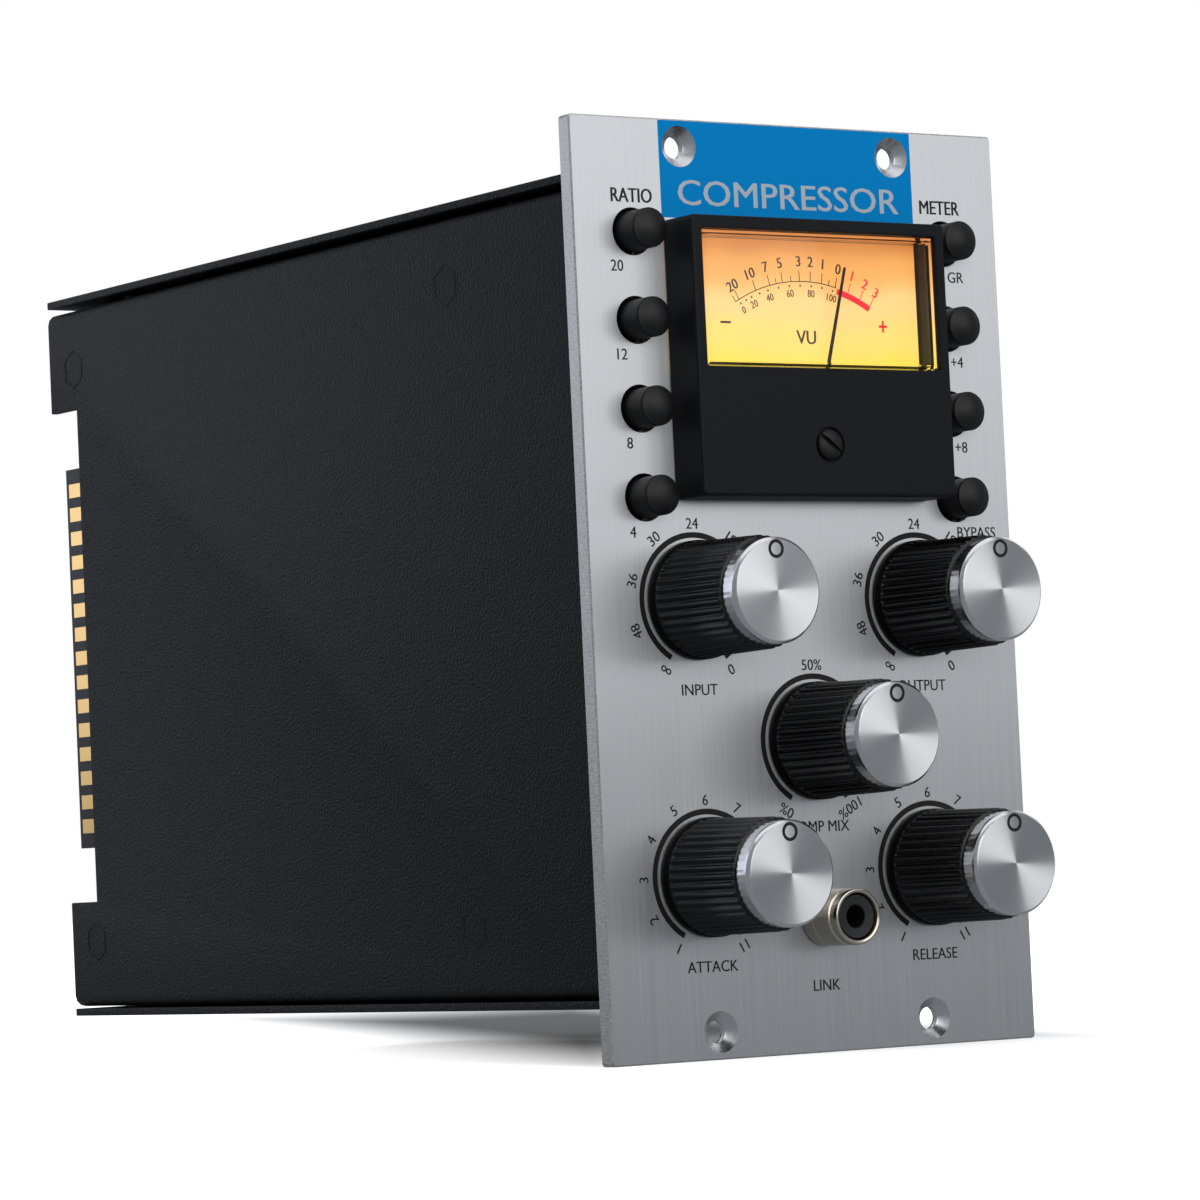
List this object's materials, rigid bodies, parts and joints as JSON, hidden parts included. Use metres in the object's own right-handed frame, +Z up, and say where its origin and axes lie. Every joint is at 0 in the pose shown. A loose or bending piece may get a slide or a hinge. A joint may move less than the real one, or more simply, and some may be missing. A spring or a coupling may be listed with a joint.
{
  "type": "rack compressor",
  "caption": "Two-slot audio compressor module for a card-frame rack: aluminium panel with lit needle meter, fluted knobs, push buttons and link jack, in a black sheet-metal case.",
  "frame": {"origin": "middle of the panel's lower edge, half way through the panel's thickness", "axes": "+X to the operator's right, +Y into the rack away from the operator, +Z up"},
  "size_m": [0.0756, 0.179, 0.1333],
  "materials": {
    "brushed_aluminium": "fine vertical brushing, lightly bead-blasted sheen",
    "zinc_plated_steel": "satin zinc plate",
    "black_powder_coat": "fine-textured black powder coat",
    "black_screw": "black oxide",
    "black_solder_mask": "satin black solder mask, gold-plated contacts on the tongue",
    "transformer": "varnished laminations with a taped coil",
    "capacitor_sleeve": "shrunk sleeve",
    "knob_plastic": "moulded, satin on the flutes",
    "spun_aluminium": "turned in fine circles, polished bevel",
    "nickel_plated_steel": "bright nickel plate",
    "pot_body": "moulded case",
    "button_plastic": "soft satin black",
    "black_plastic": "satin",
    "meter_plastic": "satin moulded black",
    "clear_acrylic": "clear, polished edges",
    "amber_dial": "printed, lit from below and behind",
    "needle_paint": "matt black",
    "bright_nickel": "bright nickel plate"
  },
  "bodies": {
    "module": {"front_panel": "brushed_aluminium", "front_bracket": "zinc_plated_steel", "main_chassis": "black_powder_coat", "left_side_cover": "black_powder_coat", "cover_screw_top_front": "black_screw", "cover_screw_top_rear": "black_screw", "cover_screw_bottom_front": "black_screw", "cover_screw_bottom_rear": "black_screw", "board_standoff_lower_front": "zinc_plated_steel", "board_standoff_lower_rear": "zinc_plated_steel", "board_standoff_upper_front": "zinc_plated_steel", "board_standoff_upper_rear": "zinc_plated_steel", "main_board": "black_solder_mask", "control_board": "black_solder_mask", "output_transformer": "transformer", "filter_capacitor": "capacitor_sleeve", "input_pot": "pot_body", "input_nut": "nickel_plated_steel", "output_pot": "pot_body", "output_nut": "nickel_plated_steel", "mix_pot": "pot_body", "mix_nut": "nickel_plated_steel", "attack_pot": "pot_body", "attack_nut": "nickel_plated_steel", "release_pot": "pot_body", "release_nut": "nickel_plated_steel", "ratio_switch_bank": "black_plastic", "meter_switch_bank": "black_plastic", "meter_case": "meter_plastic", "meter_window": "clear_acrylic", "meter_dial": "amber_dial", "meter_movement": "zinc_plated_steel", "link_jack_shell": "bright_nickel", "link_jack_insulator": "black_plastic", "link_jack_nut": "bright_nickel"},
    "input_control": {"input_knob": "knob_plastic", "input_knob_cap": "spun_aluminium", "input_shaft": "nickel_plated_steel"},
    "output_control": {"output_knob": "knob_plastic", "output_knob_cap": "spun_aluminium", "output_shaft": "nickel_plated_steel"},
    "mix_control": {"mix_knob": "knob_plastic", "mix_knob_cap": "spun_aluminium", "mix_shaft": "nickel_plated_steel"},
    "attack_control": {"attack_knob": "knob_plastic", "attack_knob_cap": "spun_aluminium", "attack_shaft": "nickel_plated_steel"},
    "release_control": {"release_knob": "knob_plastic", "release_knob_cap": "spun_aluminium", "release_shaft": "nickel_plated_steel"},
    "ratio_20_push": {"ratio_20_button": "button_plastic"},
    "ratio_12_push": {"ratio_12_button": "button_plastic"},
    "ratio_8_push": {"ratio_8_button": "button_plastic"},
    "ratio_4_push": {"ratio_4_button": "button_plastic"},
    "meter_gr_push": {"meter_gr_button": "button_plastic"},
    "meter_plus_4_push": {"meter_plus_4_button": "button_plastic"},
    "meter_plus_8_push": {"meter_plus_8_button": "button_plastic"},
    "bypass_push": {"bypass_button": "button_plastic"},
    "needle": {"meter_needle": "needle_paint"},
    "zero_screw": {"zero_adjust_screw": "meter_plastic"}
  },
  "joints": [
    {"name": "input_turn", "type": "hinge", "parent": "module", "child": "input_control", "pos_m": [-0.0199, -0.00125, 0.0648], "axis": [0, 1, 0], "range_deg": [-150, 150]},
    {"name": "output_turn", "type": "hinge", "parent": "module", "child": "output_control", "pos_m": [0.0199, -0.00125, 0.0648], "axis": [0, 1, 0], "range_deg": [-150, 150]},
    {"name": "mix_turn", "type": "hinge", "parent": "module", "child": "mix_control", "pos_m": [0, -0.00125, 0.0445], "axis": [0, 1, 0], "range_deg": [-150, 150]},
    {"name": "attack_turn", "type": "hinge", "parent": "module", "child": "attack_control", "pos_m": [-0.0199, -0.00125, 0.0257], "axis": [0, 1, 0], "range_deg": [-150, 150]},
    {"name": "release_turn", "type": "hinge", "parent": "module", "child": "release_control", "pos_m": [0.0199, -0.00125, 0.0257], "axis": [0, 1, 0], "range_deg": [-150, 150]},
    {"name": "ratio_20_press", "type": "slide", "parent": "module", "child": "ratio_20_push", "axis": [0, 1, 0], "range_m": [0, 0.002], "stiffness_N_per_m": 250},
    {"name": "ratio_12_press", "type": "slide", "parent": "module", "child": "ratio_12_push", "axis": [0, 1, 0], "range_m": [0, 0.002], "stiffness_N_per_m": 250},
    {"name": "ratio_8_press", "type": "slide", "parent": "module", "child": "ratio_8_push", "axis": [0, 1, 0], "range_m": [0, 0.002], "stiffness_N_per_m": 250},
    {"name": "ratio_4_press", "type": "slide", "parent": "module", "child": "ratio_4_push", "axis": [0, 1, 0], "range_m": [0, 0.002], "stiffness_N_per_m": 250},
    {"name": "meter_gr_press", "type": "slide", "parent": "module", "child": "meter_gr_push", "axis": [0, 1, 0], "range_m": [0, 0.002], "stiffness_N_per_m": 250},
    {"name": "meter_plus_4_press", "type": "slide", "parent": "module", "child": "meter_plus_4_push", "axis": [0, 1, 0], "range_m": [0, 0.002], "stiffness_N_per_m": 250},
    {"name": "meter_plus_8_press", "type": "slide", "parent": "module", "child": "meter_plus_8_push", "axis": [0, 1, 0], "range_m": [0, 0.002], "stiffness_N_per_m": 250},
    {"name": "bypass_press", "type": "slide", "parent": "module", "child": "bypass_push", "axis": [0, 1, 0], "range_m": [0, 0.002], "stiffness_N_per_m": 250},
    {"name": "needle_swing", "type": "hinge", "parent": "module", "child": "needle", "pos_m": [0, -0.00435, 0.0864], "axis": [0, 1, 0], "range_deg": [-48, 18], "stiffness_Nm_per_rad": 0.0004},
    {"name": "zero_adjust_turn", "type": "hinge", "parent": "module", "child": "zero_screw", "pos_m": [0, -0.00835, 0.0864], "axis": [0, 1, 0], "range_deg": [-40, 40]}
  ]
}
